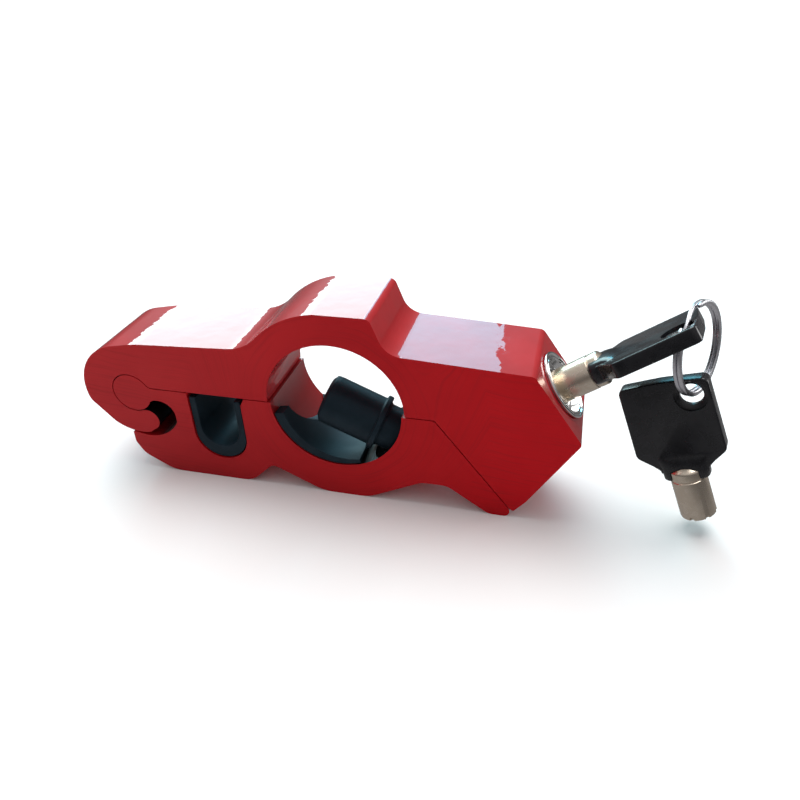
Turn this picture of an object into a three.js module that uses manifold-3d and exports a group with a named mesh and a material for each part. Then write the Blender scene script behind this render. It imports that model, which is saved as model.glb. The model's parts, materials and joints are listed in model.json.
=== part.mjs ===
// Clamp lock for a handlebar grip and its brake lever.
// Two thick jaws close round the grip, a hook and ball at the left end is their hinge,
// and a tubular key lock in the right end drives a bolt from the upper jaw into the lower one.
// Millimetres, +Z up, +X towards the key, Y through the thickness; the sketch origin is the bore's centre.
import * as THREE from "three";
import { mergeVertices } from "three/addons/utils/BufferGeometryUtils.js";
import Module from "manifold-3d";

const wasm = await Module();
wasm.setup();

// Driving dimensions
const THICKNESS = 26.8;
const GAP = 0.3; // between pieces that touch on the real lock
const FLOOR = -30.6; // height of the three lobes that the lock stands on
const ARC_STEP = 4; // degrees between the points of an arc
const FACETS = 32; // sides of a turned piece
const FINE_FACETS = 16; // sides of a small turned piece
const PIN_FACETS = 10;
const BORE_FACETS = 72;
const THROUGH = THICKNESS + 2; // depth of a cut right through the jaws
const WELD = 1e-4; // points closer than this are one point

// Jaws
const UPPER_BORE = 20.4;
const LOWER_BORE = 19.5;

const HINGE = { x: -65.3, z: -2.3 };
const HEAD_RADIUS = 6.2;
const SOCKET_RADIUS = HEAD_RADIUS + GAP;
const NECK_FILLET = { x: -57.95, z: 2.35, radius: 2.5, meets: 32.3 };
const HUMP_RADIUS = 29.5;
const HUMP_FILLET = { x: -31.1, z: 30.4, radius: 14, meets: 135.6 };
const PARTING_CORNER = { x: 28.75, z: 0 };
const ABOVE_PARTING = 1;
const PARTING_SLOPE = -52; // degrees, of the slanted part of the parting line

const SLOT = { x: -37.9, z: -14.3, radius: 8.6 };
const LEVER_PAD_WALL = 2.4;
const LEVER_PAD_FLOOR = 4.6;
const LEVER_PAD_TOP = -1.6;
const SLOT_FLARE = { depth: 2.6, width: 1.9, radius: 0.8 };

const GRIP_PAD = { outer: LOWER_BORE - GAP, from: -168, to: -70 };
// The pad's inner curve, which thins it towards the right
const PAD_HOLLOW = { x: 2.08, z: 1.2, radius: 18.6, from: -165.7, to: -77.2 };
const PAD_SCOOP = { y: 6, z: 1, radius: 15.7 }; // rounds the pad's upper end from front to back
const PAD_DEPTH = THICKNESS - 0.6;

const BUMPER = { slope: -23.3, drop: 4, forward: 4.5, radius: 7.4, edge: 0.9 };
const BUMPER_TIP = -4.5; // distances along the bumper's axis
const BUMPER_FLANGE = 12.2;
const BUMPER_NECK = 14;
const BUMPER_END = 21.4;
const FLANGE_RADIUS = 8.4;
const STUB_RADIUS = 6.5;

const LOCK_TILT = 35; // degrees, of the lock's axis above the horizontal
const LOCK_FACE = { x: 61.6, z: 7.2 }; // where the axis leaves the end face
const FACE_SLOPE = LOCK_TILT - 90;

// Distances along the lock's axis from the end face, outwards positive
const OUTSIDE = 3; // clear of the end face
const BEZEL_TOP = 1;
const CUP_FLOOR = -1.5;
const CHAMBER_TOP = -5.5;
const DISC_TOP = -5.9;
const SHEAR_LINE = -9.65;
const BLOCK_END = -14.3;
const CASE_END = -14.4;
const HUB_TOP = -14.8;
const HUB_END = -16.3;
const SLEEVE_END = -25.2;
const GUIDE_TOP = -16.8;
const GUIDE_BORE_END = -25.6;
const BOLT_TOP = -16.7;
const BOLT_TIP = -29.8;
const BOLT_PIN_AT = -18.2;
const STRIKE_HOLE_TOP = -20;
const STRIKE_TOP = -31.2;
const STRIKE_END = -38.2;

const BEZEL_RADIUS = 9.85;
const BEZEL_EDGE = 0.3;
const CASE_RADIUS = 9;
const CHAMBER_RADIUS = 6.5;
const CUP_RADIUS = 7.7;
const CUP_TAPER = 0.6;
const KEYWAY_RADIUS = 5.1;
const POST_RADIUS = 3.25;
const POST_EDGE = 0.4;
const ROTOR_RADIUS = 6.1;
const SPINDLE_RADIUS = 1.9;
const SPINDLE_FLAT = { at: 1.4, size: 4, length: 6 };
const SLEEVE = { outer: 5.2, inner: 4 };
const GUIDE = { outer: 6.7, inner: 5.5 };
const BOLT_RADIUS = 3.6;
const BOLT_EDGE = 0.8;
const BOLT_PIN_RADIUS = 0.9;
const BOLT_PIN_REACH = 6.2;
const BOLT_TRAVEL = 6;
const KEY_TURN = 90; // degrees of key turn that throw the bolt
const STRIKE = { outer: 5.6, inner: 4.2 };
const CAM_SLOT_CUTS = 15;

const PIN_COUNT = 7;
const PIN_PITCH_RADIUS = 4.2;
const PIN_RADIUS = 0.55;
const PIN_HOLE_RADIUS = 0.85;
const KEY_PIN_TOP = -2.7;
const DRIVER_PIN_LENGTHS = [1.7, 1.3, 1.9, 1.5, 1.8, 1.2, 1.6];
const PIN_HOLE_END = BLOCK_END + 0.8;
const PIN_SPRING_END = -13.3;
const PIN_SPRING = { radius: 0.45, wire: 0.13, turns: 4, sides: 4, steps: 8 };
const GRUB_SCREW = { at: -8, radius: 1.8, tip: 8.4, length: 4.4, socket: 0.9, socketDepth: 1.6 };

const KEY_BARREL = {
  radius: 4.75,
  inner: 3.6,
  inside: -2.4,
  depth: 6.5,
  shoulder: 9.3,
  top: 13.4,
  edge: 0.25,
};
const KEY_DOME = { drop: 1.6, shoulder: 1.2, crown: 2.4 };
const KEY_NIB = { width: 1.1, depth: 2, length: 2.4 };
const KEY_GROOVE = { width: 0.2, depth: 0.15 };
const KEY_BOW = { start: 9.6, end: 38.5, half: 11.6, thickness: 4.2 };
const KEY_NECK = { half: 6, thickness: 9, end: 14.6 };
const NECK_CORNER = 2;
const KEY_EYE = { across: -6.4, along: 33.5, radius: 2.95, landRadius: 4.2, land: 1.8, facets: 24 };
const KEY_TWIST = 75; // degrees about the lock's axis, from the thickness of the jaws to the bow's width

const RING_RADIUS = 11.6;
const RING_WIRE = 0.8;
const RING_SIDES = { round: 8, along: 40 };
const RING_NORMAL = new THREE.Vector3(0.86, -0.48, 0.19).normalize();
const RING_HANGS = new THREE.Vector3(0.5, 0.655, -0.57).normalize();
const SPARE_KEY_ROUND_RING = 108; // degrees along the ring from the first key
const SPARE_KEY_UP = new THREE.Vector3(-0.38, 0.14, 0.92).normalize();
const SPARE_KEY_FACES = new THREE.Vector3(-0.22, -0.97, 0.06).normalize();

const RED = { color: 0xb3161c, roughness: 0.3, metalness: 0.1 };
const RUBBER = { color: 0x15191d, roughness: 0.75, metalness: 0 };
const CHROME = { color: 0xd8dade, roughness: 0.12, metalness: 1 };
const NICKEL = { color: 0xc2b8a6, roughness: 0.28, metalness: 1 };
const STEEL = { color: 0x8d9095, roughness: 0.4, metalness: 1 };
const BRASS = { color: 0xb5935a, roughness: 0.35, metalness: 1 };
const KEY_PLASTIC = { color: 0x121417, roughness: 0.25, metalness: 0 };

const radians = THREE.MathUtils.degToRad;
const point = (x, y) => new THREE.Vector2(x, y);

// Solids

// Signed volume, six times over: negative when the faces point inwards.
function signedVolume(positions, corners) {
  const vertex = (i) => new THREE.Vector3().fromArray(positions, 3 * corners[i]);
  let sum = 0;
  for (let i = 0; i < corners.length; i += 3) {
    sum += vertex(i).dot(vertex(i + 1).cross(vertex(i + 2)));
  }
  return sum;
}

// A closed three.js geometry as a solid with its faces pointing out.
function solidOf(geometry) {
  const bare = new THREE.BufferGeometry();
  bare.setAttribute("position", geometry.getAttribute("position"));
  bare.setIndex(geometry.getIndex());
  const merged = mergeVertices(bare, WELD);
  const positions = merged.getAttribute("position").array;
  const all = merged.getIndex().array;
  const corners = [];
  for (let i = 0; i < all.length; i += 3) {
    const [a, b, c] = all.slice(i, i + 3);
    if (a !== b && b !== c && c !== a) {
      corners.push(a, b, c);
    }
  }
  if (signedVolume(positions, corners) < 0) {
    corners.reverse();
  }
  const triVerts = new Uint32Array(corners);
  return new wasm.Manifold(new wasm.Mesh({ numProp: 3, vertProperties: positions, triVerts }));
}

function meshOf(name, solid, look) {
  const { vertProperties, triVerts } = solid.getMesh();
  const geometry = new THREE.BufferGeometry();
  geometry.setAttribute("position", new THREE.BufferAttribute(vertProperties, 3));
  geometry.setIndex(new THREE.BufferAttribute(triVerts, 1));
  const flat = geometry.toNonIndexed();
  flat.computeVertexNormals();
  const mesh = new THREE.Mesh(flat, new THREE.MeshStandardMaterial(look));
  mesh.name = name;
  return mesh;
}

// Outlines are lists of corners, each with its fillet radius, and of arcs.
const corner = (x, z, radius = 0) => ({ x, z, radius });
const arc = (x, z, radius, from, to) => ({ x, z, radius, from, to });

function arcPoints({ x, z, radius, from, to }) {
  const steps = Math.max(1, Math.ceil(Math.abs(to - from) / ARC_STEP));
  return Array.from({ length: steps + 1 }, (_, i) => {
    const angle = radians(from + ((to - from) * i) / steps);
    return point(x + radius * Math.cos(angle), z + radius * Math.sin(angle));
  });
}

// The arc that rounds a corner between its two neighbours.
function filletPoints(before, at, after, radius) {
  const back = before.clone().sub(at).normalize();
  const ahead = after.clone().sub(at).normalize();
  const half = Math.acos(THREE.MathUtils.clamp(back.dot(ahead), -1, 1)) / 2;
  const centre = back.clone().add(ahead).setLength(radius / Math.sin(half)).add(at);
  const start = at.clone().addScaledVector(back, radius / Math.tan(half)).sub(centre);
  const turn = Math.sign(ahead.cross(back)) * (180 - 2 * THREE.MathUtils.radToDeg(half));
  const from = THREE.MathUtils.radToDeg(start.angle());
  return arcPoints({ x: centre.x, z: centre.y, radius, from, to: from + turn });
}

function outlinePoints(steps) {
  const runs = steps.map((step) => ("from" in step ? arcPoints(step) : [point(step.x, step.z)]));
  return runs.flatMap((run, i) => {
    const step = steps[i];
    if ("from" in step || step.radius === 0) {
      return run;
    }
    const before = runs.at(i - 1).at(-1);
    const after = runs[(i + 1) % runs.length][0];
    return filletPoints(before, run[0], after, step.radius);
  });
}

const circlePoints = (radius, count) =>
  Array.from({ length: count }, (_, i) => {
    const angle = (2 * Math.PI * i) / count;
    return point(radius * Math.cos(angle), radius * Math.sin(angle));
  });

// An outline drawn in X and Z, centred on the thickness.
function plate(points, depth, place = new THREE.Matrix4()) {
  const geometry = new THREE.ExtrudeGeometry(new THREE.Shape(points), { depth, bevelEnabled: false });
  geometry.translate(0, 0, -depth / 2);
  geometry.rotateX(Math.PI / 2);
  geometry.applyMatrix4(place);
  return solidOf(geometry);
}

// A closed profile of [radius, height] pairs, turned about the Z axis of its place.
function turned(profile, place = new THREE.Matrix4(), facets = FACETS) {
  const closed = [...profile, profile[0]].map(([radius, height]) => point(radius, height));
  const geometry = new THREE.LatheGeometry(closed, facets);
  geometry.rotateX(Math.PI / 2);
  geometry.applyMatrix4(place);
  return solidOf(geometry);
}

const rod = (radius, bottom, top, place, facets) =>
  turned([[0, bottom], [radius, bottom], [radius, top], [0, top]], place, facets);

const tube = (outer, inner, bottom, top, place, facets) =>
  turned([[inner, bottom], [outer, bottom], [outer, top], [inner, top]], place, facets);

// Places

// A point of the X and Z sketch whose local Z axis rises from +X by the slope in degrees.
function placeOnSketch({ x, y = 0, z }, slope) {
  const turn = new THREE.Matrix4().makeRotationY(radians(90 - slope));
  return turn.setPosition(x, y, z);
}

function shifted(x, y, z) {
  return new THREE.Matrix4().makeTranslation(x, y, z);
}

// Across the axis: local Z becomes the given direction in the local XY plane, in degrees.
function crosswise(angle, height) {
  const lay = new THREE.Matrix4().makeRotationY(Math.PI / 2);
  const turn = new THREE.Matrix4().makeRotationZ(radians(angle));
  return shifted(0, 0, height).multiply(turn).multiply(lay);
}

const lockPlace = placeOnSketch(LOCK_FACE, LOCK_TILT);
const inLock = (place) => lockPlace.clone().multiply(place);

function bumperPlace() {
  const slope = radians(BUMPER.slope);
  const foot = { x: BUMPER.drop * Math.sin(slope), y: -BUMPER.forward, z: -BUMPER.drop * Math.cos(slope) };
  return placeOnSketch(foot, BUMPER.slope);
}

// Jaws

// A point on the slanted part of the parting line, moved sideways towards the upper jaw.
function onParting(height, aside) {
  const along = (height - PARTING_CORNER.z) / Math.sin(radians(PARTING_SLOPE));
  const x = PARTING_CORNER.x + along * Math.cos(radians(PARTING_SLOPE));
  return point(x + aside / Math.cos(radians(90 + PARTING_SLOPE)), height);
}

function onEndFace(height) {
  return LOCK_FACE.x + (height - LOCK_FACE.z) / Math.tan(radians(FACE_SLOPE));
}

function upperOutline() {
  const line = GAP / 2;
  const knee = onParting(line, line);
  const tip = onParting(-27.8, line);
  const { meets, radius } = NECK_FILLET;
  return outlinePoints([
    corner(knee.x, line, 1.2),
    arc(NECK_FILLET.x, NECK_FILLET.z, radius - GAP, -90, meets - 180),
    arc(HINGE.x, HINGE.z, SOCKET_RADIUS, meets, 298),
    arc(-61.85, -11.8, 3.6, 105, -70),
    arc(HINGE.x, HINGE.z, 14.5, -78, -128),
    corner(-80.6, -6.7, 3),
    arc(HINGE.x, HINGE.z, 16.05, 190, 97),
    corner(-60.5, 14.9, 30),
    arc(HUMP_FILLET.x, HUMP_FILLET.z, HUMP_FILLET.radius, -87, HUMP_FILLET.meets - 180),
    arc(0, 0, HUMP_RADIUS, HUMP_FILLET.meets, 97),
    corner(11.8, 29.3, 2.2),
    corner(15.8, 19.1, 6.5),
    corner(onEndFace(16.9), 16.9, 2.2),
    corner(onEndFace(-2.5), -2.5, 1.4),
    corner(54.9, -24.4, 8),
    corner(tip.x + 0.9, -28.4, 0.5),
    corner(tip.x, -27.8, 0),
  ]);
}

function lowerOutline() {
  const line = -GAP / 2;
  const knee = onParting(line, line);
  const nose = onParting(FLOOR, line);
  const { meets, radius } = NECK_FILLET;
  return outlinePoints([
    corner(knee.x, line, 1.5),
    corner(nose.x, FLOOR, 1.8),
    corner(44.6, FLOOR, 4),
    corner(32.3, -22.3, 6),
    corner(24.8, -22.3, 6),
    corner(8.2, FLOOR, 12),
    corner(-5.9, FLOOR, 14),
    corner(-22, -23, 2.6),
    corner(-29.8, FLOOR, 8),
    corner(-57, FLOOR, 11),
    corner(-66.5, -25.3, 6),
    corner(-68.8, -21, 3),
    corner(-68.7, -16.8, 0.5),
    arc(-63, -5.05, 12.75, -108, -30),
    corner(-52, -4.2, 5),
    corner(-58.4, -4.2, 1),
    arc(HINGE.x, HINGE.z, HEAD_RADIUS, 335, meets),
    arc(NECK_FILLET.x, NECK_FILLET.z, radius, meets - 180, -90),
  ]);
}

function slotOutline(shrink, floorShrink, top) {
  const { x, z, radius } = SLOT;
  const half = radius - shrink;
  const floor = z - radius + floorShrink;
  return outlinePoints([
    corner(x + half, top),
    corner(x - half, top),
    corner(x - half, floor, half - 0.01),
    corner(x + half, floor, half - 0.01),
  ]);
}

// The slot's mouth opens out at its right-hand edge.
function slotMouth() {
  const edge = SLOT.x + SLOT.radius;
  const inside = edge - 1;
  return outlinePoints([
    corner(inside, -SLOT_FLARE.depth),
    corner(edge, -SLOT_FLARE.depth, SLOT_FLARE.radius),
    corner(edge + SLOT_FLARE.width, ABOVE_PARTING),
    corner(inside, ABOVE_PARTING),
  ]);
}

function upperJaw() {
  const screwHole = inLock(crosswise(90, GRUB_SCREW.at));
  return plate(upperOutline(), THICKNESS)
    .subtract(plate(circlePoints(UPPER_BORE, BORE_FACETS), THROUGH))
    .subtract(rod(CASE_RADIUS + GAP, HUB_TOP + GAP, OUTSIDE, lockPlace))
    .subtract(rod(GUIDE.outer + GAP, GUIDE_BORE_END, 0, lockPlace))
    .subtract(rod(BOLT_RADIUS + GAP, STRIKE_END, 0, lockPlace))
    .subtract(rod(GRUB_SCREW.radius + GAP, 0, THICKNESS, screwHole, FINE_FACETS));
}

function lowerJaw() {
  return plate(lowerOutline(), THICKNESS)
    .subtract(plate(circlePoints(LOWER_BORE, BORE_FACETS), THROUGH))
    .subtract(plate(slotOutline(0, 0, ABOVE_PARTING), THROUGH))
    .subtract(plate(slotMouth(), THROUGH))
    .subtract(rod(STUB_RADIUS + GAP, BUMPER_FLANGE, BUMPER_END + GAP, bumperPlace()))
    .subtract(rod(STRIKE.outer + GAP, STRIKE_END - GAP, STRIKE_HOLE_TOP, lockPlace));
}

// Rubber pieces

function gripPad() {
  const { outer, from, to } = GRIP_PAD;
  const { x, z, radius } = PAD_HOLLOW;
  const outline = [arc(0, 0, outer, from, to), arc(x, z, radius, PAD_HOLLOW.to, PAD_HOLLOW.from)];
  const scoop = placeOnSketch({ x: 0, y: PAD_SCOOP.y, z: PAD_SCOOP.z }, 180);
  const scooped = rod(PAD_SCOOP.radius, 0, THICKNESS, scoop, BORE_FACETS);
  return plate(outlinePoints(outline), PAD_DEPTH).subtract(scooped);
}

function leverPad() {
  const lining = plate(slotOutline(GAP, GAP, LEVER_PAD_TOP), PAD_DEPTH);
  const room = plate(slotOutline(LEVER_PAD_WALL, LEVER_PAD_FLOOR, ABOVE_PARTING), THICKNESS);
  return lining.subtract(room);
}

function gripBumper() {
  const { radius, edge } = BUMPER;
  return turned(
    [
      [0, BUMPER_TIP],
      [radius - edge, BUMPER_TIP],
      [radius - 0.3 * edge, BUMPER_TIP + 0.3 * edge],
      [radius, BUMPER_TIP + edge],
      [radius, BUMPER_FLANGE],
      [FLANGE_RADIUS, BUMPER_FLANGE],
      [FLANGE_RADIUS, BUMPER_NECK],
      [STUB_RADIUS, BUMPER_NECK],
      [STUB_RADIUS, BUMPER_END],
      [0, BUMPER_END],
    ],
    bumperPlace(),
  );
}

// Lock, drawn on its own axis: Z is the distance from the end face

function lockCase() {
  const dimple = crosswise(90, GRUB_SCREW.at);
  const body = turned([
    [CASE_RADIUS, CASE_END],
    [CASE_RADIUS, GAP],
    [BEZEL_RADIUS, GAP],
    [BEZEL_RADIUS, BEZEL_TOP - BEZEL_EDGE],
    [BEZEL_RADIUS - BEZEL_EDGE, BEZEL_TOP],
    [CUP_RADIUS + BEZEL_EDGE, BEZEL_TOP],
    [CUP_RADIUS, BEZEL_TOP - BEZEL_EDGE],
    [CUP_RADIUS - CUP_TAPER, CUP_FLOOR],
    [KEYWAY_RADIUS, CUP_FLOOR],
    [KEYWAY_RADIUS, CHAMBER_TOP],
    [CHAMBER_RADIUS, CHAMBER_TOP],
    [CHAMBER_RADIUS, CASE_END],
  ]);
  return body.subtract(rod(GRUB_SCREW.radius + GAP, GRUB_SCREW.tip - GAP, THICKNESS, dimple, FINE_FACETS));
}

// Holes for the pins, in a ring about the axis.
function pinHoles(solid, bottom, top) {
  const drill = (rest, i) => rest.subtract(rod(PIN_HOLE_RADIUS, bottom, top, pinPlace(i), PIN_FACETS));
  return Array.from({ length: PIN_COUNT }, (_, i) => i).reduce(drill, solid);
}

function pinPlace(i) {
  const angle = (2 * Math.PI * i) / PIN_COUNT;
  return shifted(PIN_PITCH_RADIUS * Math.cos(angle), PIN_PITCH_RADIUS * Math.sin(angle), 0);
}

function lockRotor() {
  const discEnd = SHEAR_LINE + GAP / 2;
  const body = turned([
    [0, HUB_END],
    [SPINDLE_RADIUS, HUB_END],
    [SPINDLE_RADIUS, discEnd],
    [ROTOR_RADIUS, discEnd],
    [ROTOR_RADIUS, DISC_TOP],
    [POST_RADIUS, DISC_TOP],
    [POST_RADIUS, CUP_FLOOR],
    [POST_RADIUS - POST_EDGE, CUP_FLOOR + POST_EDGE],
    [0, CUP_FLOOR + POST_EDGE],
  ]);
  const { at, size, length } = SPINDLE_FLAT;
  const flat = new THREE.BoxGeometry(size, size, length).translate(at + size / 2, 0, HUB_END);
  return pinHoles(body, discEnd - 1, DISC_TOP + 1).subtract(solidOf(flat));
}

function pinBlock() {
  const body = tube(ROTOR_RADIUS, SPINDLE_RADIUS + GAP, BLOCK_END, SHEAR_LINE - GAP / 2);
  return pinHoles(body, PIN_HOLE_END, SHEAR_LINE);
}

const keyPin = (i) => rod(PIN_RADIUS, SHEAR_LINE + GAP / 2, KEY_PIN_TOP, pinPlace(i), PIN_FACETS);

function driverPin(i) {
  const top = SHEAR_LINE - GAP / 2;
  return rod(PIN_RADIUS, top - DRIVER_PIN_LENGTHS[i], top, pinPlace(i), PIN_FACETS);
}

class Helix extends THREE.Curve {
  constructor(radius, turns, bottom, top) {
    super();
    Object.assign(this, { radius, turns, bottom, top });
  }
  getPoint(t, target = new THREE.Vector3()) {
    const angle = 2 * Math.PI * this.turns * t;
    const height = THREE.MathUtils.lerp(this.bottom, this.top, t);
    return target.set(this.radius * Math.cos(angle), this.radius * Math.sin(angle), height);
  }
}

function pinSpring(i) {
  const { radius, wire, turns, sides, steps } = PIN_SPRING;
  const top = SHEAR_LINE - GAP / 2 - DRIVER_PIN_LENGTHS[i] - GAP - wire;
  const extrudePath = new Helix(radius, turns, PIN_SPRING_END, top);
  const shape = new THREE.Shape(circlePoints(wire, sides));
  const geometry = new THREE.ExtrudeGeometry(shape, { steps: steps * turns, extrudePath });
  geometry.applyMatrix4(pinPlace(i));
  return solidOf(geometry);
}

// A slot through the sleeve that rises by the bolt's travel over the key's turn.
function helicalSlot(solid, startAngle) {
  const radius = BOLT_PIN_RADIUS + GAP;
  const length = SLEEVE.outer + 1;
  const cut = (rest, i) => {
    const share = i / CAM_SLOT_CUTS;
    const block = new THREE.CylinderGeometry(radius, radius, length, PIN_FACETS);
    block.translate(0, -length / 2 - 1, 0);
    block.rotateZ(Math.PI / 2);
    block.rotateZ(radians(startAngle - KEY_TURN * share));
    block.translate(0, 0, BOLT_PIN_AT - BOLT_TRAVEL * share);
    return rest.subtract(solidOf(block));
  };
  return Array.from({ length: CAM_SLOT_CUTS + 1 }, (_, i) => i).reduce(cut, solid);
}

function camSleeve() {
  const { outer, inner } = SLEEVE;
  const hub = SPINDLE_RADIUS + GAP;
  const body = turned([
    [hub, HUB_TOP],
    [hub, HUB_END],
    [inner, HUB_END],
    [inner, SLEEVE_END],
    [outer, SLEEVE_END],
    [outer, HUB_TOP],
  ]);
  return helicalSlot(helicalSlot(body, 90), 270);
}

function boltGuide() {
  const body = tube(GUIDE.outer, GUIDE.inner, SLEEVE_END, GUIDE_TOP);
  const width = 2 * (BOLT_PIN_RADIUS + GAP);
  const length = BOLT_TRAVEL + width;
  const slot = new THREE.BoxGeometry(width, 4 * GUIDE.outer, length);
  slot.translate(0, 0, BOLT_PIN_AT + width / 2 - length / 2);
  return body.subtract(solidOf(slot));
}

function bolt() {
  const body = turned([
    [0, BOLT_TIP],
    [BOLT_RADIUS - BOLT_EDGE, BOLT_TIP],
    [BOLT_RADIUS, BOLT_TIP + BOLT_EDGE],
    [BOLT_RADIUS, BOLT_TOP],
    [0, BOLT_TOP],
  ]);
  const reach = 2 * BOLT_RADIUS;
  const pinHole = rod(BOLT_PIN_RADIUS + GAP, -reach, reach, crosswise(90, BOLT_PIN_AT), FINE_FACETS);
  return body.subtract(pinHole);
}

const boltPin = () =>
  rod(BOLT_PIN_RADIUS, -BOLT_PIN_REACH, BOLT_PIN_REACH, crosswise(90, BOLT_PIN_AT), FINE_FACETS);

function grubScrew() {
  const { at, radius, tip, length, socket, socketDepth } = GRUB_SCREW;
  const place = crosswise(90, at);
  const end = tip + length;
  const hexagon = rod(socket, end - socketDepth, end + socketDepth, place, 6);
  return rod(radius, tip, end, place, FINE_FACETS).subtract(hexagon);
}

const strikeBush = () => tube(STRIKE.outer, STRIKE.inner, STRIKE_END, STRIKE_TOP);

// Keys, drawn on the barrel's axis with the bow's width along X

function keyBarrel() {
  const { radius, inner, inside, depth, shoulder, top, edge } = KEY_BARREL;
  const { drop, shoulder: bend, crown } = KEY_DOME;
  const body = turned([
    [inner, inside],
    [radius - edge, inside],
    [radius, inside + edge],
    [radius, top - drop],
    [radius - bend, top - edge],
    [radius - crown, top],
    [0, top],
    [0, inside + depth],
    [inner, inside + depth],
  ]);
  const nib = new THREE.BoxGeometry(KEY_NIB.width, KEY_NIB.depth, KEY_NIB.length);
  nib.translate(0, radius, inside);
  const groove = tube(2 * radius, radius - KEY_GROOVE.depth, shoulder - KEY_GROOVE.width, shoulder);
  return body.subtract(solidOf(nib)).subtract(groove);
}

function bowOutline() {
  const { start, end, half } = KEY_BOW;
  const neck = KEY_NECK.half;
  const side = (sign) => [
    corner(sign * neck, start),
    corner(sign * neck, start + 2.6, 1),
    corner(sign * (neck + 1.6), start + 4.4, 1.2),
    corner(sign * half, start + 7.2, 1.8),
    corner(sign * (half - 0.3), end - 0.6, 1.6),
  ];
  return outlinePoints([...side(1), ...side(-1).reverse()]);
}

// The eye for the ring: a hole in a thin land, sunk from both faces so that the ring can lean in it.
function keyEyeCut() {
  const { across, along, radius, landRadius, land, facets } = KEY_EYE;
  const outside = KEY_BOW.thickness;
  const place = shifted(across, 0, along).multiply(new THREE.Matrix4().makeRotationX(Math.PI / 2));
  return turned(
    [
      [0, -outside],
      [landRadius, -outside],
      [landRadius, -land / 2],
      [radius, -land / 2],
      [radius, land / 2],
      [landRadius, land / 2],
      [landRadius, outside],
      [0, outside],
    ],
    place,
    facets,
  );
}

function keyBow() {
  const { start, thickness } = KEY_BOW;
  const { half, end } = KEY_NECK;
  const { radius, top } = KEY_BARREL;
  const { drop, crown } = KEY_DOME;
  const neck = [
    corner(half, start),
    corner(half, end, NECK_CORNER),
    corner(-half, end, NECK_CORNER),
    corner(-half, start),
  ];
  const socket = turned([
    [0, start - 1],
    [radius + GAP, start - 1],
    [radius + GAP, top - drop + GAP],
    [radius - crown + 2 * GAP, top + GAP],
    [0, top + GAP],
  ]);
  return plate(bowOutline(), thickness)
    .add(plate(outlinePoints(neck), KEY_NECK.thickness))
    .subtract(socket)
    .subtract(keyEyeCut());
}

// Assembly

const lock = new THREE.Group();

const jaws = new THREE.Group();
jaws.add(meshOf("lower_jaw", lowerJaw(), RED));
jaws.add(meshOf("upper_jaw", upperJaw(), RED));
jaws.add(meshOf("grip_pad", gripPad(), RUBBER));
jaws.add(meshOf("lever_pad", leverPad(), RUBBER));
jaws.add(meshOf("grip_bumper", gripBumper(), RUBBER));
lock.add(jaws);

const mechanism = new THREE.Group();
mechanism.applyMatrix4(lockPlace);
mechanism.add(meshOf("lock_case", lockCase(), CHROME));
mechanism.add(meshOf("lock_rotor", lockRotor(), CHROME));
mechanism.add(meshOf("pin_block", pinBlock(), BRASS));
mechanism.add(meshOf("cam_sleeve", camSleeve(), STEEL));
mechanism.add(meshOf("bolt_guide", boltGuide(), BRASS));
mechanism.add(meshOf("bolt", bolt(), STEEL));
mechanism.add(meshOf("bolt_pin", boltPin(), STEEL));
mechanism.add(meshOf("grub_screw", grubScrew(), STEEL));
mechanism.add(meshOf("strike_bush", strikeBush(), STEEL));
for (let i = 0; i < PIN_COUNT; i++) {
  mechanism.add(meshOf(`key_pin_${i + 1}`, keyPin(i), BRASS));
  mechanism.add(meshOf(`driver_pin_${i + 1}`, driverPin(i), BRASS));
  mechanism.add(meshOf(`pin_spring_${i + 1}`, pinSpring(i), STEEL));
}
lock.add(mechanism);

function keyGroup(prefix) {
  const key = new THREE.Group();
  key.add(meshOf(`${prefix}_barrel`, keyBarrel(), NICKEL));
  key.add(meshOf(`${prefix}_bow`, keyBow(), KEY_PLASTIC));
  return key;
}

const key = keyGroup("key");
key.rotation.z = radians(KEY_TWIST);
mechanism.add(key);

// The ring runs through the eye of the first key's bow and hangs from it.
lock.updateMatrixWorld(true);
const eyePoint = new THREE.Vector3(KEY_EYE.across, 0, KEY_EYE.along);
const keyEye = key.localToWorld(eyePoint.clone());
const ringDown = RING_HANGS.clone().projectOnPlane(RING_NORMAL).normalize();
const ringCentre = keyEye.clone().addScaledVector(ringDown, RING_RADIUS);
const ringLoop = new THREE.TorusGeometry(RING_RADIUS, RING_WIRE, RING_SIDES.round, RING_SIDES.along);
const ring = meshOf("key_ring", solidOf(ringLoop), CHROME);
ring.position.copy(ringCentre);
ring.quaternion.setFromUnitVectors(new THREE.Vector3(0, 0, 1), RING_NORMAL);
lock.add(ring);

// The spare key hangs by its own eye from the low side of the ring.
const spareKey = keyGroup("spare_key");
const across = new THREE.Vector3().crossVectors(SPARE_KEY_FACES, SPARE_KEY_UP).normalize();
const outwards = new THREE.Vector3().crossVectors(SPARE_KEY_UP, across);
spareKey.quaternion.setFromRotationMatrix(new THREE.Matrix4().makeBasis(across, outwards, SPARE_KEY_UP));
const spareEye = ringDown.clone().multiplyScalar(-RING_RADIUS);
spareEye.applyAxisAngle(RING_NORMAL, radians(SPARE_KEY_ROUND_RING)).add(ringCentre);
spareKey.position.copy(spareEye).sub(eyePoint.clone().applyQuaternion(spareKey.quaternion));
lock.add(spareKey);

// The part's origin is the middle of its footprint, on the surface that it stands on.
const part = new THREE.Group();
part.add(lock);
const box = new THREE.Box3().setFromObject(lock, true);
const middle = box.getCenter(new THREE.Vector3());
lock.position.set(-middle.x, -middle.y, -box.min.z);

export default part;
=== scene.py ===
import json
import math

import bmesh
import bpy
from mathutils import Matrix, Vector


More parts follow.
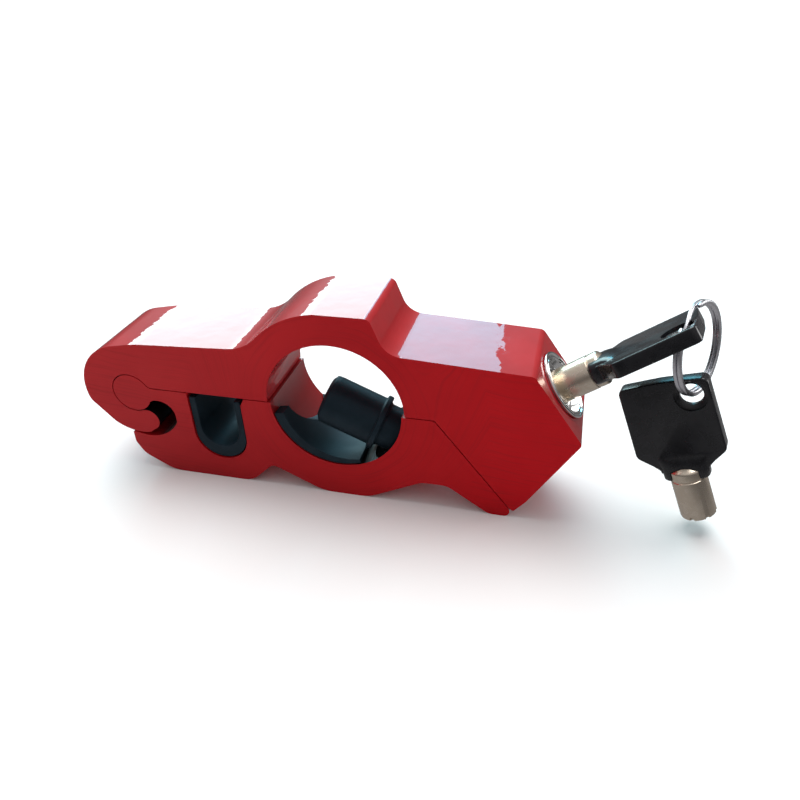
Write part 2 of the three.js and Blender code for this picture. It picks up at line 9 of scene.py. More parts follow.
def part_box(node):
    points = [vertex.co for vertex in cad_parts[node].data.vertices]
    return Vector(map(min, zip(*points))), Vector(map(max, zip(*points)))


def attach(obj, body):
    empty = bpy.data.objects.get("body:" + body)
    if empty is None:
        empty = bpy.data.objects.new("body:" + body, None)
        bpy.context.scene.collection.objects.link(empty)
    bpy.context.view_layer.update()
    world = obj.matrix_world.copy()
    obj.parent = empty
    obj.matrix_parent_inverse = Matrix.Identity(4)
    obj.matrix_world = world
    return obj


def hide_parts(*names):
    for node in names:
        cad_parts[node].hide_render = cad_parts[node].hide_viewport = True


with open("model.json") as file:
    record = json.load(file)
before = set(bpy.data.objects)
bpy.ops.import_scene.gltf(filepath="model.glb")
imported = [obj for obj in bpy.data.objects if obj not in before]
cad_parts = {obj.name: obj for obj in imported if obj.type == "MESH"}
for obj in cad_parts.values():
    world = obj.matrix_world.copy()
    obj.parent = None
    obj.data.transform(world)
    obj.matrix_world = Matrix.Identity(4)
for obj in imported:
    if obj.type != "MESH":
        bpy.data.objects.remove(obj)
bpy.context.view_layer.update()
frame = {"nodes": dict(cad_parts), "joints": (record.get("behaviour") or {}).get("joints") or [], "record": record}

# Piece meshes are drawn in millimetres, and MM turns them into metres. Everything else is in metres.
MM = 0.001
NODES = frame["nodes"]

JOINTS = {joint["name"]: joint for joint in frame["joints"]}
MOUNTS = {mount["name"]: mount for mount in frame["record"]["mounts"]}
BORE = Vector(MOUNTS["handlebar_grip"]["pos_m"])
HINGE = Vector(JOINTS["jaw_hinge"]["pos_m"])
# Middles of the recesses where shade is painted into the red gloss
POCKET = HINGE + Vector((0.0086, 0.0, -0.0076))  # middle of the pocket under the hinge
BORE_END = BORE + Vector((0.0135, 0.0, -0.0150))  # the bore's wall where the bumper stands in it
# Near black: the colour of the shade painted into the red gloss's recesses
PAINTED_SHADE = (0.006, 0.003, 0.003)
JAW_HALF_THICKNESS = 0.0134
LOCK_FACE = Vector(JOINTS["key_turn"]["pos_m"])
LOCK_AXIS = Vector(JOINTS["key_turn"]["axis"])
KEY_EYE = Vector(JOINTS["ring_swing"]["pos_m"])
KEY_FACES = Vector(JOINTS["ring_swing"]["axis"])
SPARE_EYE = Vector(JOINTS["spare_key_swing"]["pos_m"])
SPARE_FACES = Vector(JOINTS["spare_key_swing"]["axis"])

# Driving dimensions of the keys, ring and bumper, in millimetres, as in the CAD model
BARREL_RADIUS = 4.75
BARREL_INNER = 3.6
BARREL_DEPTH = 6.5
BARREL_TIP = -2.4
SHOULDER = 9.3
BARREL_TOP = 13.4
BOW_START = 9.6
BOW_END = 38.5
BOW_HALF = 11.6
BOW_THICKNESS = 4.2
NECK_HALF = 6.0
EYE_ACROSS = -6.4
EYE_ALONG = 33.5
EYE_RADIUS = 2.95
EYE_LAND_RADIUS = 4.2
EYE_LAND = 1.8
RING_RADIUS = 11.6
SPARE_KEY_UP = Vector((-0.38, 0.14, 0.92))
BUMPER_SLOPE = math.radians(-23.3)
BUMPER_BELOW = 4.0
BUMPER_FORWARD = 4.5

CAMERA_AT = (0.049874, -0.167193, 0.139856)
CAMERA_RIGHT = Vector((0.96857, 0.24618, -0.03552))
CAMERA_LOOK = Vector((-0.22536, 0.80818, -0.54412))
CAMERA_LENS = 31.58


# Camera

def add_camera():
    data = bpy.data.cameras.new("camera")
    data.sensor_width = 36
    data.lens = CAMERA_LENS
    data.clip_start = 0.01
    data.clip_end = 50
    camera = bpy.data.objects.new("camera", data)
    bpy.context.scene.collection.objects.link(camera)
    right = CAMERA_RIGHT.normalized()
    look = CAMERA_LOOK.normalized()
    up = right.cross(look).normalized()
    turn = Matrix((right, up, -look)).transposed().to_4x4()
    camera.matrix_world = Matrix.Translation(CAMERA_AT) @ turn
    bpy.context.scene.camera = camera


# Shader nodes

def node(tree, kind, inputs=None, **settings):
    """A shader node; an input is a value, or a socket to link."""
    made = tree.nodes.new("ShaderNode" + kind)
    for key, value in settings.items():
        setattr(made, key, value)
    for key, value in (inputs or {}).items():
        if isinstance(value, bpy.types.NodeSocket):
            tree.links.new(value, made.inputs[key])
        else:
            made.inputs[key].default_value = value
    return made


def math_node(tree, operation, *values):
    made = node(tree, "Math", dict(enumerate(values)), operation=operation)
    return made.outputs[0]


def ramp(tree, value, low, high, start, end):
    """value from low..high, mapped to start..end."""
    inputs = {"Value": value, "From Min": low, "From Max": high, "To Min": start, "To Max": end}
    return node(tree, "MapRange", inputs).outputs[0]


def mixed(tree, share, first, second):
    """The first colour where share is 0, the second where it is 1."""
    made = tree.nodes.new("ShaderNodeMix")
    made.data_type = "RGBA"
    colours = [s for s in made.inputs if s.type == "RGBA"]
    tree.links.new(share, made.inputs[0])
    for socket, value in zip(colours, (first, second)):
        if isinstance(value, bpy.types.NodeSocket):
            tree.links.new(value, socket)
        else:
            socket.default_value = (*value, 1)
    return [s for s in made.outputs if s.type == "RGBA"][0]


def clouded(tree, cloud, first, second):
    """Two close colours, mixed by a noise."""
    return mixed(tree, ramp(tree, cloud, 0.35, 0.65, 0, 1), first, second)


def uneven(tree, cloud, low, high):
    """A number between low and high, varied by a noise."""
    return ramp(tree, cloud, 0.3, 0.7, low, high)


def noise(tree, where, scale, detail=2.0, roughness=0.5):
    inputs = {"Vector": where, "Scale": scale, "Detail": detail, "Roughness": roughness}
    return node(tree, "TexNoise", inputs).outputs["Fac"]


def stretched(tree, where, factors):
    inputs = {0: where, 1: factors}
    return node(tree, "VectorMath", inputs, operation="MULTIPLY").outputs[0]


def bumped(tree, height, distance, strength=1.0, normal=None):
    inputs = {"Height": height, "Distance": distance, "Strength": strength}
    if normal is not None:
        inputs["Normal"] = normal
    return node(tree, "Bump", inputs).outputs[0]


def new_material(name, **sockets):
    material = bpy.data.materials.new(name)
    material.use_nodes = True
    shader = material.node_tree.nodes["Principled BSDF"]
    for key, value in sockets.items():
        shader.inputs[key.replace("_", " ")].default_value = value
    return material, material.node_tree, shader


def object_coordinates(tree):
    return node(tree, "TexCoord").outputs["Object"]


# Materials

def level_distance(tree, where, middle):
    """The distance to a line through middle that runs across the lock, along Y."""
    offset = node(tree, "VectorMath", {0: where, 1: middle}, operation="SUBTRACT").outputs[0]
    flat = stretched(tree, offset, (1.0, 0.0, 1.0))
    return node(tree, "VectorMath", {0: flat}, operation="LENGTH").outputs["Value"]


def with_painted_shade(tree, where, colour, middle, inner, outer, share):
    """A share of near-black painted shade within the inner radius of middle, fading out at the outer one."""
    near = ramp(tree, level_distance(tree, where, middle), inner, outer, share, 0)
    return mixed(tree, near, colour, PAINTED_SHADE)


def red_gloss():
    """Lacquered red on the sides and in the bore: a deep clear coat over fine orange peel, with painted shade in
    the pocket under the hinge, round the bumper's seat and on the bore's wall.
    """
    material, tree, shader = new_material("red_gloss", Roughness=0.45, Specular_IOR_Level=0.12,
                                          Coat_Weight=1.0, Coat_Roughness=0.03)
    where = object_coordinates(tree)
    cloud = noise(tree, where, 60.0, 3.0)
    colour = clouded(tree, cloud, (0.40, 0.006, 0.010), (0.48, 0.008, 0.013))
    # Painted shade: fully black in the pocket under the hinge and round the bumper's seat, half black on the
    # bore's wall
    colour = with_painted_shade(tree, where, colour, POCKET, 0.0062, 0.0088, 1)
    colour = with_painted_shade(tree, where, colour, BORE_END, 0.0085, 0.0105, 1)
    colour = with_painted_shade(tree, where, colour, BORE, 0.0192, 0.0206, 0.5)
    tree.links.new(colour, shader.inputs["Base Color"])
    wave = noise(tree, where, 110.0, 2.0)
    slow = bumped(tree, wave, 0.00016)
    peel = noise(tree, where, 900.0, 1.0)
    normal = bumped(tree, peel, 0.000004, 1.0, slow)
    tree.links.new(normal, shader.inputs["Normal"])
    tree.links.new(normal, shader.inputs["Coat Normal"])
    return material


def face_lines(tree, where):
    """Faint cutter lines: rings round the bore, and lengthways lines away from it."""
    parts = node(tree, "SeparateXYZ", {0: where})
    across = math_node(tree, "SUBTRACT", parts.outputs[0], BORE.x)
    height = math_node(tree, "SUBTRACT", parts.outputs[2], BORE.z)
    across_squared = math_node(tree, "POWER", across, 2.0)
    height_squared = math_node(tree, "POWER", height, 2.0)
    radius = math_node(tree, "SQRT", math_node(tree, "ADD", across_squared, height_squared))
    near = ramp(tree, radius, 0.028, 0.044, 1, 0)
    slanted = math_node(tree, "MULTIPLY", across, 0.09)
    level = math_node(tree, "ADD", height, slanted)
    far = math_node(tree, "SUBTRACT", 1.0, near)
    rings = math_node(tree, "MULTIPLY", radius, near)
    lengthways = math_node(tree, "MULTIPLY", level, far)
    line = math_node(tree, "ADD", rings, lengthways)
    drift = math_node(tree, "MULTIPLY", noise(tree, where, 45.0, 2.0), 0.004)
    line = math_node(tree, "ADD", line, drift)
    row = node(tree, "CombineXYZ", {0: line, 1: math_node(tree, "MULTIPLY", across, 0.025)})
    return noise(tree, row.outputs[0], 1400.0, 2.0, 0.6)


def red_satin():
    """The flat faces: the same red, thinner and duller, with the cutter's lines showing through, and a painted
    light shift from left to right.
    """
    material, tree, shader = new_material("red_satin", Roughness=0.42, Specular_IOR_Level=0.08)
    where = object_coordinates(tree)
    lines = face_lines(tree, where)
    cloud = noise(tree, where, 25.0, 3.0)
    across = node(tree, "SeparateXYZ", {0: where}).outputs[0]
    # Painted light: the red is paler and pinker at the left and deeper at the right, standing for the light
    # falling across the faces
    left = clouded(tree, cloud, (0.38, 0.014, 0.018), (0.45, 0.018, 0.021))
    right = clouded(tree, cloud, (0.43, 0.002, 0.006), (0.50, 0.003, 0.008))
    plain = mixed(tree, ramp(tree, across, -0.07, 0.04, 0, 1), left, right)
    colour = mixed(tree, ramp(tree, lines, 0.5, 0.75, 0, 0.3), plain, (0.17, 0.006, 0.010))
    tree.links.new(colour, shader.inputs["Base Color"])
    tree.links.new(ramp(tree, lines, 0.3, 0.7, 0.36, 0.48), shader.inputs["Roughness"])
    tree.links.new(bumped(tree, lines, 0.00001), shader.inputs["Normal"])
    return material


def rubber():
    """Moulded rubber, blue-black, with a soft broad shine."""
    material, tree, shader = new_material("black_rubber", Roughness=0.5, Specular_IOR_Level=0.34,
                                          Specular_Tint=(0.55, 0.8, 1.0, 1))
    where = object_coordinates(tree)
    cloud = noise(tree, where, 150.0, 4.0)
    colour = clouded(tree, cloud, (0.007, 0.013, 0.019), (0.011, 0.020, 0.028))
    tree.links.new(colour, shader.inputs["Base Color"])
    tree.links.new(uneven(tree, cloud, 0.46, 0.56), shader.inputs["Roughness"])
    grain = noise(tree, where, 2600.0, 2.0)
    tree.links.new(bumped(tree, grain, 0.00002), shader.inputs["Normal"])
    return material


def metal(name, light, dark, low, high, scale=900.0, bump=0.000004):
    """Bare or plated metal, its roughness between low and high."""
    material, tree, shader = new_material(name, Metallic=1.0)
    grain = noise(tree, object_coordinates(tree), scale, 3.0, 0.6)
    tree.links.new(clouded(tree, grain, light, dark), shader.inputs["Base Color"])
    tree.links.new(uneven(tree, grain, low, high), shader.inputs["Roughness"])
    tree.links.new(bumped(tree, grain, bump), shader.inputs["Normal"])
    return material


def key_plastic():
    """Black moulded plastic with a thin polish."""
    material, tree, shader = new_material("key_moulding", Roughness=0.24, Specular_IOR_Level=0.5,
                                          Coat_Weight=0.35, Coat_Roughness=0.1)
    where = object_coordinates(tree)
    cloud = noise(tree, where, 250.0, 3.0)
    colour = clouded(tree, cloud, (0.003, 0.003, 0.005), (0.007, 0.007, 0.010))
    tree.links.new(colour, shader.inputs["Base Color"])
    tree.links.new(uneven(tree, cloud, 0.2, 0.34), shader.inputs["Roughness"])
    grain = noise(tree, where, 2200.0, 2.0)
    tree.links.new(bumped(tree, grain, 0.000006), shader.inputs["Normal"])
    return material


# Mesh tools

def link(name, mesh, material):
    made = bpy.data.objects.new(name, mesh)
    bpy.context.scene.collection.objects.link(made)
    if material is not None:
        mesh.materials.clear()
        mesh.materials.append(material)
    return made


def smooth(mesh, degrees=32):
    mesh.shade_smooth()
    mesh.set_sharp_from_angle(angle=math.radians(degrees))


def rounded(points, steps=4, closed=True):
    """Corners (a, b, radius) as points, with an arc at each corner that has a radius."""
    made = []
    count = len(points)
    for i, (a, b, radius) in enumerate(points):
        at = Vector((a, b))
        ends = not closed and i in (0, count - 1)
        if radius == 0 or ends:
            made.append(at)
            continue
        back = (Vector(points[i - 1][:2]) - at).normalized()
        ahead = (Vector(points[(i + 1) % count][:2]) - at).normalized()
        half = back.angle(ahead) / 2
        reach = radius / math.tan(half)
        centre = at + (back + ahead).normalized() * (radius / math.sin(half))
        start = at + back * reach - centre
        end = at + ahead * reach - centre
        turn = start.angle_signed(end)
        for k in range(steps + 1):
            made.append(centre + Matrix.Rotation(-turn * k / steps, 2) @ start)
    return made


def from_faces(name, points, faces):
    mesh = bpy.data.meshes.new(name)
    mesh.from_pydata([tuple(p) for p in points], [], faces)
    checked = bmesh.new()
    checked.from_mesh(mesh)
    bmesh.ops.remove_doubles(checked, verts=checked.verts, dist=1e-5)
    bmesh.ops.recalc_face_normals(checked, faces=checked.faces)
    checked.to_mesh(mesh)
    checked.free()
    return mesh


def lathe(name, profile, segments=72, closed=False):
    """Turns a list of (radius, height) about the Z axis."""
    points, faces = [], []
    count = len(profile)
    for radius, height in profile:
        for k in range(segments):
            angle = 2 * math.pi * k / segments
            points.append((radius * math.cos(angle), radius * math.sin(angle), height))
    for i in range(count if closed else count - 1):
        low, high = i * segments, ((i + 1) % count) * segments
        for k in range(segments):
            following = (k + 1) % segments
            ring = [low + k, low + following, high + following, high + k]
            faces.append(ring)
    return without_slivers(from_faces(name, points, faces))


def without_slivers(mesh):
    """Drops the faces that merging the points on the axis has left with no area."""
    made = bmesh.new()
    made.from_mesh(mesh)
    bmesh.ops.dissolve_degenerate(made, dist=1e-5, edges=made.edges)
    bmesh.ops.recalc_face_normals(made, faces=made.faces)
    made.to_mesh(mesh)
    made.free()
    return mesh


def inset(run, amount):
    """A closed outline, moved inwards by an amount; the outline runs anticlockwise."""
    made = []
    for i, at in enumerate(run):
        back = (at - run[i - 1]).normalized()
        ahead = (run[(i + 1) % len(run)] - at).normalized()
        inward = Vector((-back.y - ahead.y, back.x + ahead.x)).normalized()
        square = Vector((-back.y, back.x))
        made.append(at + inward * (amount / max(0.5, inward.dot(square))))
    return made


def tubed(name, rings):
    """A closed surface through rings that have the same number of points, with flat ends."""
    count = len(rings[0])
    points = [point for ring in rings for point in ring]
    faces = [list(range(count)), list(range(len(points) - count, len(points)))]
    for i in range(len(rings) - 1):
        low, high = i * count, (i + 1) * count
        for k in range(count):
            following = (k + 1) % count
            faces.append([low + k, low + following, high + following, high + k])
    return from_faces(name, points, faces)


def bulged(value, power):
    """A sine or cosine raised to a power, its sign kept: less than 1 makes an oval squarer."""
    return math.copysign(abs(value) ** power, value)


def slab(name, outline, half, edge, steps=4):
    """A plate in X and Z, rounded at its edges, centred on Y = 0."""
    levels = []
    for k in range(steps + 1):
        angle = math.pi / 2 * k / steps
        levels.append((edge * (1 - math.sin(angle)), half - edge + edge * math.cos(angle)))
    rings = []
    for amount, y in levels + [(amount, -y) for amount, y in reversed(levels)]:
        rings.append([(p.x, y, p.y) for p in inset(outline, amount)])
    return tubed(name, rings)


def combined(mesh, other, operation):
    """The union or difference of two closed meshes."""
    first = bpy.data.objects.new("first", mesh)
    second = bpy.data.objects.new("second", other)
    bpy.context.scene.collection.objects.link(first)
    bpy.context.scene.collection.objects.link(second)
    modifier = first.modifiers.new("join", "BOOLEAN")
    modifier.operation = operation
    modifier.solver = "EXACT"
    modifier.object = second
    graph = bpy.context.evaluated_depsgraph_get()
    made = bpy.data.meshes.new_from_object(first.evaluated_get(graph))
    bpy.data.objects.remove(first)
    bpy.data.objects.remove(second)
    return made


def placed(mesh, matrix):
    """Millimetres in a local place become metres in the CAD frame."""
    mesh.transform(matrix @ Matrix.Scale(MM, 4))
    return mesh


def basis(origin, y_axis, z_axis):
    """A place at origin with Z along z_axis and Y as near y_axis as it can be."""
    up = z_axis.normalized()
    out = (y_axis - up * y_axis.dot(up)).normalized()
    side = out.cross(up)
    turn = Matrix((side, out, up)).transposed().to_4x4()
    return Matrix.Translation(origin) @ turn


def piece(name, mesh, matrix, material, body, slot, *stands_for, sharp=32):
    """Places a mesh, hangs it under its body's empty and hides the nodes it stands for; slot is not used."""
    smooth(placed(mesh, matrix), sharp)
    made = link(name, mesh, material)
    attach(made, body)
    if stands_for:
        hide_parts(*stands_for)
    return made


# Keys, drawn on the barrel's axis with the bow's width along X and its thickness along Y

def key_barrel_mesh():
    """The key's tube with a domed end in the moulding, and a ring of notches in its tip."""
    profile = rounded([
        (BARREL_INNER, BARREL_TIP, 0.15),
        (BARREL_RADIUS, BARREL_TIP, 0.3),
        (BARREL_RADIUS, SHOULDER - 0.15, 0.1),
        (BARREL_RADIUS - 0.2, SHOULDER, 0.05),
        (BARREL_RADIUS - 0.2, SHOULDER + 0.3, 0.05),
        (BARREL_RADIUS - 0.05, SHOULDER + 0.5, 0.1),
        (BARREL_RADIUS - 0.05, BARREL_TOP - 1.2, 0.9),
        (BARREL_RADIUS - 1.6, BARREL_TOP, 0.8),
        (0.0, BARREL_TOP, 0),
        (0.0, BARREL_TIP + BARREL_DEPTH, 0),
        (BARREL_INNER, BARREL_TIP + BARREL_DEPTH, 0),
    ])
    body = lathe("barrel", profile, 96, closed=True)
    depths = (0.7, 1.1, 0.9, 1.2, 0.6, 1.0, 0.8)
    for i, depth in enumerate(depths):
        angle = 2 * math.pi * (i + 0.5) / len(depths)
        cutter = lathe("cutter", [(0, -2), (0.6, -2), (0.6, depth - 0.2), (0.4, depth), (0, depth)], 24)
        at = (BARREL_RADIUS - 0.15) * Vector((math.cos(angle), math.sin(angle), 0))
        cutter.transform(Matrix.Translation(at + Vector((0, 0, BARREL_TIP))))
        body = combined(body, cutter, "DIFFERENCE")
    return body


def bow_outline():
    side = [
        (NECK_HALF + 0.2, BOW_START + 2.0, 0),
        (NECK_HALF + 0.2, BOW_START + 2.8, 1.0),
        (NECK_HALF + 1.8, BOW_START + 4.4, 1.3),
        (BOW_HALF, BOW_START + 7.4, 2.0),
        (BOW_HALF - 0.3, BOW_END - 0.5, 1.7),
    ]
    mirrored = [(-a, b, radius) for a, b, radius in reversed(side)]
    return rounded(side + [(0, BOW_END, 30)] + mirrored, 5)


def collar_mesh():
    """The moulding round the barrel, which thins into the flat of the bow."""
    levels = [
        (BOW_START, 5.5, 3.0),
        (BOW_START + 0.12, 5.8, 3.2),
        (BOW_START + 0.4, 6.0, 3.35),
        (BOW_START + 2.6, 6.05, 3.4),
        (BOW_START + 4.0, 6.2, 3.4),
        (BOW_START + 5.4, 6.7, 3.1),
        (BOW_START + 6.8, 7.3, 2.6),
        (BOW_START + 8.2, 7.4, 1.7),
    ]
    count, power = 64, 2 / 3.4
    rings = []
    for height, half_x, half_y in levels:
        turns = [2 * math.pi * k / count for k in range(count)]
        rings.append([
            (half_x * bulged(math.cos(turn), power), half_y * bulged(math.sin(turn), power), height)
            for turn in turns
        ])
    return tubed("collar", rings)


def eye_cutter():
    """The eye for the ring, sunk from both faces to a thinner land."""
    profile = [
        (0, -4), (EYE_LAND_RADIUS, -4), (EYE_LAND_RADIUS, -EYE_LAND / 2 - 0.3),
        (EYE_RADIUS + 0.3, -EYE_LAND / 2), (EYE_RADIUS, -EYE_LAND / 2 + 0.3),
        (EYE_RADIUS, EYE_LAND / 2 - 0.3), (EYE_RADIUS + 0.3, EYE_LAND / 2),
        (EYE_LAND_RADIUS, EYE_LAND / 2 + 0.3), (EYE_LAND_RADIUS, 4), (0, 4),
    ]
    cutter = lathe("eye", profile, 48)
    cutter.transform(Matrix.Rotation(math.pi / 2, 4, "X"))
    cutter.transform(Matrix.Translation((EYE_ACROSS, 0, EYE_ALONG)))
    return cutter


def key_bow_mesh():
    """The moulded bow: a flat plate and its collar, less the barrel's socket and the eye."""
    body = slab("bow", bow_outline(), BOW_THICKNESS / 2, 0.4)
    body = combined(body, collar_mesh(), "UNION")
    socket = lathe("socket", [
        (0, BOW_START - 2), (BARREL_RADIUS + 0.1, BOW_START - 2), (BARREL_RADIUS + 0.1, BARREL_TOP - 1.1),
        (BARREL_RADIUS - 1.4, BARREL_TOP + 0.15), (0, BARREL_TOP + 0.15),
    ], 72)
    for cutter in (socket, eye_cutter()):
        body = combined(body, cutter, "DIFFERENCE")
    return body


# Split ring

def split_ring_mesh(centre_angle):
    """Two flat turns of wire lying on each other, with one short crossing."""
    half_axial, half_radial, layer = 0.5, 0.72, 0.54
    count, steps = 16, 168
    gap = math.radians(20)
    start, end = gap, 4 * math.pi - gap
    rings = []
    for i in range(steps + 1):
        turn = start + (end - start) * i / steps
        share = min(1.0, max(0.0, (turn - (2 * math.pi - gap)) / (2 * gap)))
        height = layer * (2 * share * share * (3 - 2 * share) - 1)
        outward = Vector((math.cos(turn + centre_angle), math.sin(turn + centre_angle), 0))
        shrink = (0.6, 0.88, 1.0)[min(i, steps - i, 2)]
        ring = []
        for k in range(count):
            angle = 2 * math.pi * k / count
            radial = half_radial * shrink * bulged(math.cos(angle), 0.6)
            axial = half_axial * shrink * bulged(math.sin(angle), 0.6)
            ring.append(outward * (RING_RADIUS + radial) + Vector((0, 0, height + axial)))
        rings.append(ring)
    return tubed("split_ring", rings)


# Lock

def lock_case_mesh():
    """The head of the lock: a rolled rim, a second rim inside it, and a dished floor round the keyway."""
    profile = rounded([
        (9.0, -14.4, 0.2), (9.0, 0.3, 0.05), (9.85, 0.3, 0.1), (9.85, 1.0, 0.33), (9.2, 1.0, 0.3),
        (8.95, 0.45, 0.1), (8.6, 0.45, 0.1), (8.4, 0.8, 0.15), (8.05, 0.8, 0.15), (7.85, 0.3, 0.2),
        (7.3, -1.5, 0.3), (5.9, -1.5, 0.15), (5.5, -1.2, 0.1), (5.1, -1.3, 0.1),
        (5.1, -5.5, 0), (6.5, -5.5, 0), (6.5, -14.4, 0.1),
    ])
    return lathe("lock_case", profile, 112, closed=True)


def bumper_mesh():
    """The rubber bumper: a round-nosed cylinder with a flange, and a stub that goes into the jaw."""
    profile = rounded([
        (0, -4.5, 0), (5.9, -4.5, 0.5), (6.3, -4.2, 0.4), (7.25, -3.6, 0.7), (7.4, -2.2, 1.0),
        (7.4, 12.2, 0.35),
        (8.1, 12.2, 0.3), (8.4, 12.5, 0.2), (8.4, 13.7, 0.25), (8.1, 14.0, 0.2), (6.9, 14.0, 0.3),
        (6.5, 14.6, 0.3), (6.5, 21.4, 0.2), (0, 21.4, 0),
    ], 4, closed=False)
    return lathe("bumper", profile, 96)


# Build

add_camera()

GLOSS = red_gloss()
SATIN = red_satin()
RUBBER = rubber()
CHROME = metal("bright_nickel", (0.82, 0.82, 0.81), (0.76, 0.76, 0.75), 0.10, 0.16, 500.0, 0.000001)
NICKEL = metal("nickel_plate", (0.92, 0.80, 0.66), (0.84, 0.72, 0.58), 0.26, 0.30, 500.0, 0.000001)
WIRE = metal("split_ring_wire", (0.86, 0.86, 0.90), (0.76, 0.76, 0.80), 0.22, 0.34)
STEEL = metal("satin_steel", (0.56, 0.55, 0.54), (0.46, 0.45, 0.44), 0.25, 0.42)
SINTERED = metal("sintered_steel", (0.42, 0.42, 0.43), (0.34, 0.34, 0.35), 0.4, 0.6, 1600.0, 0.00001)
HARD = metal("hard_steel", (0.62, 0.62, 0.64), (0.54, 0.54, 0.56), 0.15, 0.28)
BRASS = metal("pin_brass", (0.72, 0.56, 0.28), (0.62, 0.46, 0.2), 0.22, 0.36)
SPRING = metal("spring_steel", (0.5, 0.5, 0.52), (0.42, 0.42, 0.44), 0.22, 0.36)
PLASTIC = key_plastic()


def refine(name, width):
    """Rounds a CAD node's edges with modifiers; its own mesh stays as packed."""
    made = NODES[name]
    weld = made.modifiers.new("weld", "WELD")
    weld.merge_threshold = 1e-6
    flat = made.modifiers.new("flat", "DECIMATE")
    flat.decimate_type = "DISSOLVE"
    flat.angle_limit = math.radians(0.6)
    flat.delimit = {"MATERIAL"}
    edge = made.modifiers.new("edge", "BEVEL")
    edge.width = width * MM
    edge.segments = 3
    edge.limit_method = "ANGLE"
    edge.angle_limit = math.radians(28)
    edge.use_clamp_overlap = True
    edge.miter_outer = "MITER_ARC"
    even = made.modifiers.new("even", "WEIGHTED_NORMAL")
    even.keep_sharp = False
    even.weight = 80


def dress(name, *materials):
    """Gives a CAD node its materials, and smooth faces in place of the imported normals."""
    made = NODES[name]
    made.data.materials.clear()
    for material in materials:
        made.data.materials.append(material)
    if "custom_normal" in made.data.attributes:
        made.data.attributes.remove(made.data.attributes["custom_normal"])
    made.data.shade_smooth()


def is_front_or_back(face):
    off_plane = abs(abs(face.center.y - BORE.y) - JAW_HALF_THICKNESS)
    return abs(face.normal.y) > 0.9 and off_plane < 1e-4


def paint_jaw(name):
    """Gloss all over, and satin on the flat front and back."""
    dress(name, GLOSS, SATIN)
    for face in NODES[name].data.polygons:
        face.material_index = 1 if is_front_or_back(face) else 0
    refine(name, 0.6)


paint_jaw("lower_jaw")
paint_jaw("upper_jaw")
for name in ("grip_pad", "lever_pad"):
    dress(name, RUBBER)
    refine(name, 0.3)

INNER = {
    "lock_rotor": STEEL, "bolt_pin": STEEL, "grub_screw": STEEL, "strike_bush": STEEL,
    "pin_block": SINTERED, "cam_sleeve": SINTERED, "bolt_guide": SINTERED, "bolt": HARD,
}
for i in range(1, 8):
    INNER[f"key_pin_{i}"] = BRASS
    INNER[f"driver_pin_{i}"] = STEEL
    INNER[f"pin_spring_{i}"] = SPRING
for name, material in INNER.items():
    dress(name, material)
    NODES[name].data.set_sharp_from_angle(angle=math.radians(32))

ALONG_BORE = Vector((0, 1, 0))
lock_place = basis(LOCK_FACE, ALONG_BORE, LOCK_AXIS)
key_place = basis(LOCK_FACE, KEY_FACES, LOCK_AXIS)
spare_turn = basis(Vector(), SPARE_FACES, SPARE_KEY_UP)
eye_in_key = Vector((EYE_ACROSS, 0, EYE_ALONG)) * MM
spare_place = Matrix.Translation(SPARE_EYE - spare_turn @ eye_in_key) @ spare_turn

piece("lock_head", lock_case_mesh(), lock_place, CHROME, "upper", "bright_nickel", "lock_case")
barrel = key_barrel_mesh()
piece("key_tube", barrel.copy(), key_place, NICKEL, "key", "nickel_plate", "key_barrel")
piece("spare_key_tube", barrel, spare_place, NICKEL, "spare_key", "nickel_plate", "spare_key_barrel")
bow = key_bow_mesh()
piece("key_grip", bow.copy(), key_place, PLASTIC, "key", "key_moulding", "key_bow", sharp=40)
piece("spare_key_grip", bow, spare_place, PLASTIC, "spare_key", "key_moulding", "spare_key_bow", sharp=40)

low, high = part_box("key_ring")
ring_centre = (low + high) / 2
ring_normal = (KEY_EYE - ring_centre).cross(SPARE_EYE - ring_centre).normalized()
ring_place = basis(ring_centre, KEY_EYE - ring_centre, ring_normal)
split_ring = split_ring_mesh(math.radians(60))
piece("split_ring", split_ring, ring_place, WIRE, "ring", "split_ring_wire", "key_ring")

bumper_axis = Vector((math.cos(BUMPER_SLOPE), 0, math.sin(BUMPER_SLOPE)))
bumper_down = Vector((math.sin(BUMPER_SLOPE), 0, -math.cos(BUMPER_SLOPE)))
bumper_offset = BUMPER_BELOW * bumper_down - Vector((0, BUMPER_FORWARD, 0))
bumper_place = basis(BORE + bumper_offset * MM, ALONG_BORE, bumper_axis)
piece("rubber_bumper", bumper_mesh(), bumper_place, RUBBER, "lower", "black_rubber", "grip_bumper")


# Stage

def add_floor():
    """A plain pale floor. It lights the lock from below, and its mirror image stays out of the gloss."""
    material, tree, shader = new_material("floor", Roughness=0.9, Specular_IOR_Level=0.0)
    shader.inputs["Base Color"].default_value = (0.93, 0.93, 0.925, 1)
    size = 60.0
    corners = [(-size, -size, 0), (size, -size, 0), (size, size, 0), (-size, size, 0)]
    mesh = bpy.data.meshes.new("floor")
    mesh.from_pydata(corners, [], [(0, 1, 2, 3)])
    made = link("floor", mesh, material)
    made.visible_glossy = False


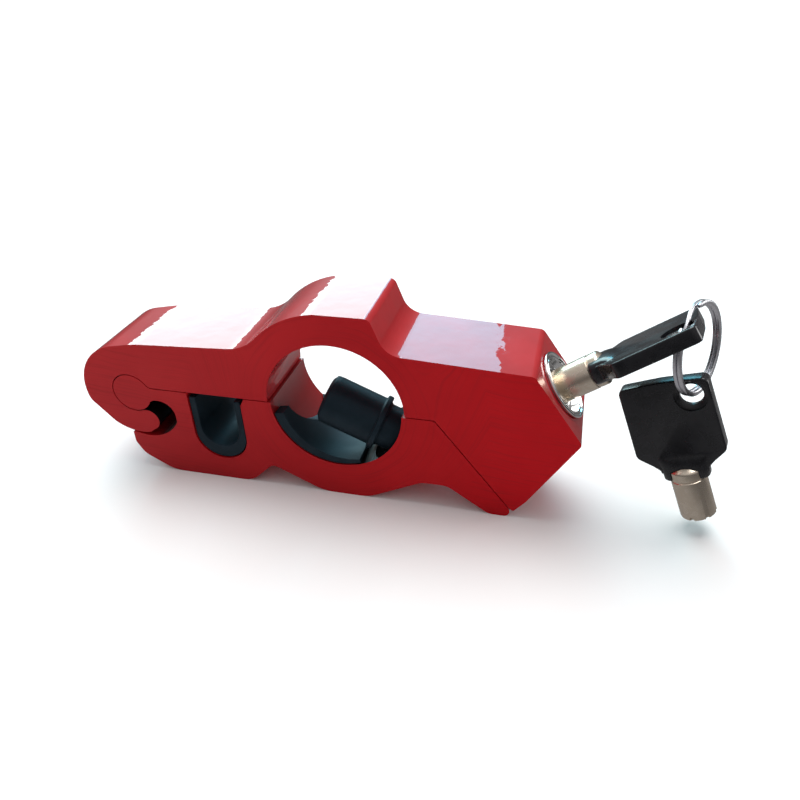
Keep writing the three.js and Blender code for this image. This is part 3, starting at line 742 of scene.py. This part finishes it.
def add_world():
    """A dim room, darkest at the horizon, so that gloss and metal have dark bands to show."""
    world = bpy.data.worlds.new("studio")
    bpy.context.scene.world = world
    world.use_nodes = True
    tree = world.node_tree
    direction = node(tree, "TexCoord").outputs["Generated"]
    height = node(tree, "SeparateXYZ", {0: direction}).outputs[2]
    above = ramp(tree, height, 0.0, 1.0, 0.08, 0.6)
    below = ramp(tree, height, -0.5, -0.05, 0.2, 0.0)
    strength = math_node(tree, "ADD", above, below)
    background = tree.nodes["Background"]
    background.inputs["Color"].default_value = (1.0, 0.985, 1.0, 1)
    tree.links.new(strength, background.inputs["Strength"])


def add_sun(azimuth, elevation, strength, spread):
    """The key light, from overhead and as soft as a large diffuser."""
    data = bpy.data.lights.new("sun", "SUN")
    data.energy = strength
    data.angle = math.radians(spread)
    made = bpy.data.objects.new("sun", data)
    bpy.context.scene.collection.objects.link(made)
    towards = direction_of(azimuth, elevation)
    made.matrix_world = towards.to_track_quat("Z", "Y").to_matrix().to_4x4()


def direction_of(azimuth, elevation):
    """A unit vector; azimuth is from +Y towards +X, in degrees."""
    turn, lift = math.radians(azimuth), math.radians(elevation)
    return Vector((math.sin(turn) * math.cos(lift), math.cos(turn) * math.cos(lift), math.sin(lift)))


def add_card(name, azimuth, elevation, distance, width, height, power, colour=(1, 1, 1)):
    """A soft rectangular light that faces the lock."""
    data = bpy.data.lights.new(name, "AREA")
    data.shape = "RECTANGLE"
    data.size = width
    data.size_y = height
    data.energy = power
    data.color = colour
    made = bpy.data.objects.new(name, data)
    bpy.context.scene.collection.objects.link(made)
    out = direction_of(azimuth, elevation)
    turn = out.to_track_quat("Z", "Y").to_matrix().to_4x4()
    made.matrix_world = Matrix.Translation(BORE + out * distance) @ turn


add_floor()
add_world()
add_sun(-15, 72, 2.4, 50)
add_card("left_card", -30, 27, 1.2, 0.7, 0.56, 7.6, (0.62, 0.95, 1.0))
add_card("right_card", -7, 26, 1.2, 0.26, 0.34, 1.6, (0.2, 0.78, 1.0))
add_card("low_card", 62, 8, 1.2, 0.5, 0.5, 2.5)
bpy.context.scene.view_settings.view_transform = "Standard"
